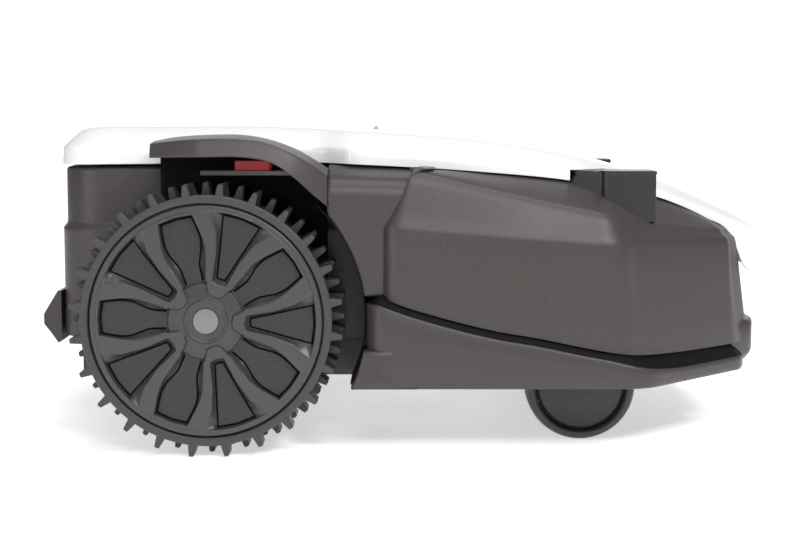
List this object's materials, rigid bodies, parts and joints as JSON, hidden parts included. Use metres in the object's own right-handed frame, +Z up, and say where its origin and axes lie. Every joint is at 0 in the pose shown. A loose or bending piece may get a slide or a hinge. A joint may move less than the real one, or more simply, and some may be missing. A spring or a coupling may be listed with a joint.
{
  "type": "robotic lawn mower",
  "caption": "Wheeled robotic lawn mower with lugged rear drive wheels, front casters, side pods, a white top cover and a height-adjustable blade disc.",
  "frame": {"origin": "on the ground at the centre of the bounding box's base", "axes": "+X forwards to the nose, +Y to the machine's left, +Z up"},
  "size_m": [0.7248, 0.53, 0.309],
  "materials": {
    "graphite": "fine textured satin",
    "white": "satin white",
    "window": "smooth",
    "black": "matte",
    "brass": "polished",
    "red": "satin",
    "grey": "satin",
    "cap": "textured satin",
    "badge": "satin",
    "tyre": "matte rubber",
    "steel": "brushed",
    "bronze": "sintered",
    "motor": "cast",
    "battery": "matte",
    "board": "solder mask",
    "disc": "satin",
    "skid": "satin"
  },
  "bodies": {
    "chassis": {"battery_pack": "battery", "body_shell": "graphite", "button_cup": "black", "caster_bushes": "bronze", "charge_contact_left": "brass", "charge_contact_right": "brass", "chassis_tray": "black", "control_panel": "black", "fender_left": "graphite", "fender_right": "graphite", "front_bumper": "graphite", "gearmotor_left": "motor", "gearmotor_right": "motor", "guide_rods": "steel", "height_bridge": "grey", "lid_pin": "steel", "main_board": "board", "mount_bracket_left": "grey", "mount_bracket_right": "grey", "nose_window": "window", "rear_bumper": "graphite", "sensor_housing_left": "black", "sensor_housing_right": "black", "sensor_lid_left": "black", "sensor_lid_right": "black", "shell_mount_left": "red", "shell_mount_right": "red", "side_skirt_left": "graphite", "side_skirt_right": "graphite", "top_cover": "white"},
    "drive_wheel_left": {"drive_tyre_left": "tyre", "wheel_rim_left": "cap", "wheel_cap_left": "cap", "wheel_badge_left": "badge", "wheel_shaft_left": "steel"},
    "caster_swivel_left": {"caster_fork_left": "black", "caster_stem_left": "steel", "caster_axle_left": "steel"},
    "caster_wheel_left": {"caster_hub_left": "cap", "caster_tyre_left": "tyre"},
    "drive_wheel_right": {"drive_tyre_right": "tyre", "wheel_rim_right": "cap", "wheel_cap_right": "cap", "wheel_badge_right": "badge", "wheel_shaft_right": "steel"},
    "caster_swivel_right": {"caster_fork_right": "black", "caster_stem_right": "steel", "caster_axle_right": "steel"},
    "caster_wheel_right": {"caster_hub_right": "cap", "caster_tyre_right": "tyre"},
    "carriage": {"height_carriage": "grey", "cutting_motor": "motor"},
    "disc": {"blade_disc": "disc", "blade_screws": "steel"},
    "skid": {"skid_plate": "skid"},
    "blade_body_1": {"blade_1": "steel"},
    "blade_body_2": {"blade_2": "steel"},
    "blade_body_3": {"blade_3": "steel"},
    "button": {"stop_button": "red"},
    "lid": {"control_lid": "white"}
  },
  "joints": [
    {"name": "drive_spin_left", "type": "hinge", "parent": "chassis", "child": "drive_wheel_left", "pos_m": [-0.188, 0.265, 0.128], "axis": [0, 1, 0], "continuous": true},
    {"name": "caster_swivel_joint_left", "type": "hinge", "parent": "chassis", "child": "caster_swivel_left", "pos_m": [0.191, 0.16388, 0.117], "axis": [0, 0, 1], "continuous": true},
    {"name": "caster_spin_left", "type": "hinge", "parent": "caster_swivel_left", "child": "caster_wheel_left", "pos_m": [0.169, 0.16388, 0.054], "axis": [0, 1, 0], "continuous": true},
    {"name": "drive_spin_right", "type": "hinge", "parent": "chassis", "child": "drive_wheel_right", "pos_m": [-0.188, -0.265, 0.128], "axis": [0, 1, 0], "continuous": true},
    {"name": "caster_swivel_joint_right", "type": "hinge", "parent": "chassis", "child": "caster_swivel_right", "pos_m": [0.191, -0.16388, 0.117], "axis": [0, 0, 1], "continuous": true},
    {"name": "caster_spin_right", "type": "hinge", "parent": "caster_swivel_right", "child": "caster_wheel_right", "pos_m": [0.169, -0.16388, 0.054], "axis": [0, 1, 0], "continuous": true},
    {"name": "cutting_height", "type": "slide", "parent": "chassis", "child": "carriage", "axis": [0, 0, 1], "range_m": [-0.04, 0]},
    {"name": "disc_spin", "type": "hinge", "parent": "carriage", "child": "disc", "pos_m": [0.0015, 0, 0.061], "axis": [0, 0, 1], "continuous": true},
    {"name": "skid_spin", "type": "hinge", "parent": "disc", "child": "skid", "pos_m": [0.0015, 0, 0.05], "axis": [0, 0, 1], "continuous": true},
    {"name": "blade_pivot_1", "type": "hinge", "parent": "disc", "child": "blade_body_1", "pos_m": [0.0015, 0.092, 0.058], "axis": [0, 0, 1], "continuous": true},
    {"name": "blade_pivot_2", "type": "hinge", "parent": "disc", "child": "blade_body_2", "pos_m": [-0.07817, -0.046, 0.058], "axis": [0, 0, 1], "continuous": true},
    {"name": "blade_pivot_3", "type": "hinge", "parent": "disc", "child": "blade_body_3", "pos_m": [0.08117, -0.046, 0.058], "axis": [0, 0, 1], "continuous": true},
    {"name": "stop_press", "type": "slide", "parent": "chassis", "child": "button", "axis": [0, 0, -1], "range_m": [0, 0.004], "stiffness_N_per_m": 800, "springref_m": -0.002},
    {"name": "lid_hinge", "type": "hinge", "parent": "chassis", "child": "lid", "pos_m": [-0.03293, 0, 0.30303], "axis": [0, -1, 0], "range_deg": [0, 100]}
  ]
}
